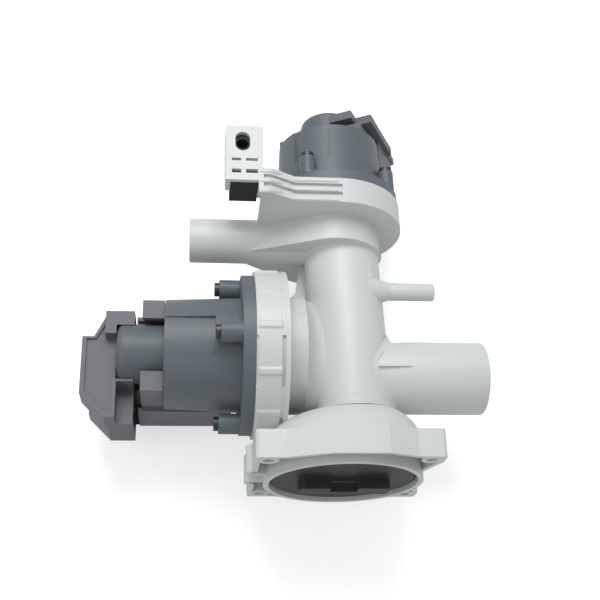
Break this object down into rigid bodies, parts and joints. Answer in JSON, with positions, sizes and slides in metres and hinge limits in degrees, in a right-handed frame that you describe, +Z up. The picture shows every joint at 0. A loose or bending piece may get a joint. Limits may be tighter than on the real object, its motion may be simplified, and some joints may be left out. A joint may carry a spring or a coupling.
{
  "type": "washer drain pump",
  "caption": "Double washing machine pump: moulded filter housing with hose spigots, a screwed-on drain motor, a circulation motor, a bracket arm and a pull-out filter.",
  "frame": {"origin": "centre of the filter mouth, in the plane of the front flange's mounting face", "axes": "+Y back along the filter axis towards the circulation motor, -Y out of the filter knob, -X towards the drain motor, +Z up"},
  "size_m": [0.183, 0.1905, 0.0965],
  "materials": {
    "housing_plastic": "smooth moulded, slightly glossy",
    "black_rubber": "matte",
    "knob_plastic": "satin",
    "seal_rubber": "matte",
    "basket_plastic": "smooth moulded",
    "motor_plastic": "satin moulded",
    "cover_plastic": "satin moulded",
    "screw_steel": "zinc plated, dull",
    "shaft_steel": "ground",
    "bush_plastic": "moulded",
    "hub_plastic": "moulded",
    "magnet_ferrite": "ground ferrite",
    "impeller_plastic": "moulded",
    "core_steel": "laminated sheet",
    "bobbin_plastic": "moulded",
    "winding_copper": "enamelled wire",
    "terminal_metal": "tinned",
    "cutout_plastic": "moulded"
  },
  "bodies": {
    "pump": {"housing_front_flange": "housing_plastic", "housing_main_tube": "housing_plastic", "housing_inlet": "housing_plastic", "housing_vent": "housing_plastic", "housing_drain_chamber": "housing_plastic", "housing_drain_outlet": "housing_plastic", "housing_volute": "housing_plastic", "housing_circulation_outlet": "housing_plastic", "housing_bracket_arm": "housing_plastic", "mount_rubber": "black_rubber", "drain_motor_housing": "motor_plastic", "drain_flange_seal": "seal_rubber", "drain_flange_screws": "screw_steel", "drain_front_bush": "bush_plastic", "drain_rear_bush": "bush_plastic", "drain_stator_core": "core_steel", "drain_coil_bobbin": "bobbin_plastic", "drain_coil_winding": "winding_copper", "drain_stator_cover": "cover_plastic", "drain_terminals": "terminal_metal", "drain_thermal_cutout": "cutout_plastic", "circulation_motor_housing": "motor_plastic", "circulation_flange_seal": "seal_rubber", "circulation_flange_screws": "screw_steel", "circulation_front_bush": "bush_plastic", "circulation_rear_bush": "bush_plastic", "circulation_stator_core": "core_steel", "circulation_coil_bobbin": "bobbin_plastic", "circulation_coil_winding": "winding_copper", "circulation_stator_cover": "cover_plastic", "circulation_terminals": "terminal_metal", "circulation_thermal_cutout": "cutout_plastic"},
    "filter": {"filter_basket": "basket_plastic"},
    "knob": {"filter_knob": "knob_plastic", "filter_seal": "seal_rubber"},
    "drain_rotor": {"drain_rotor_shaft": "shaft_steel", "drain_rotor_hub": "hub_plastic", "drain_rotor_magnet": "magnet_ferrite", "drain_drive_dog": "hub_plastic"},
    "drain_impeller": {"drain_impeller": "impeller_plastic"},
    "circulation_rotor": {"circulation_rotor_shaft": "shaft_steel", "circulation_rotor_hub": "hub_plastic", "circulation_rotor_magnet": "magnet_ferrite", "circulation_drive_dog": "hub_plastic"},
    "circulation_impeller": {"circulation_impeller": "impeller_plastic"}
  },
  "joints": [
    {"name": "filter_pull", "type": "slide", "parent": "pump", "child": "filter", "axis": [0, -1, 0], "range_m": [0, 0.08]},
    {"name": "knob_turn", "type": "hinge", "parent": "filter", "child": "knob", "pos_m": [0, 0, 0], "axis": [0, -1, 0], "range_deg": [0, 90]},
    {"name": "drain_rotor_spin", "type": "hinge", "parent": "pump", "child": "drain_rotor", "pos_m": [-0.0397, 0.0572, 0], "axis": [-1, 0, 0], "continuous": true},
    {"name": "drain_impeller_play", "type": "hinge", "parent": "drain_rotor", "child": "drain_impeller", "pos_m": [-0.0397, 0.0572, 0], "axis": [-1, 0, 0], "range_deg": [0, 190]},
    {"name": "circulation_rotor_spin", "type": "hinge", "parent": "pump", "child": "circulation_rotor", "pos_m": [0.0002, 0.133, 0], "axis": [0, 1, 0], "continuous": true},
    {"name": "circulation_impeller_play", "type": "hinge", "parent": "circulation_rotor", "child": "circulation_impeller", "pos_m": [0.0002, 0.133, 0], "axis": [0, 1, 0], "range_deg": [0, 190]}
  ]
}
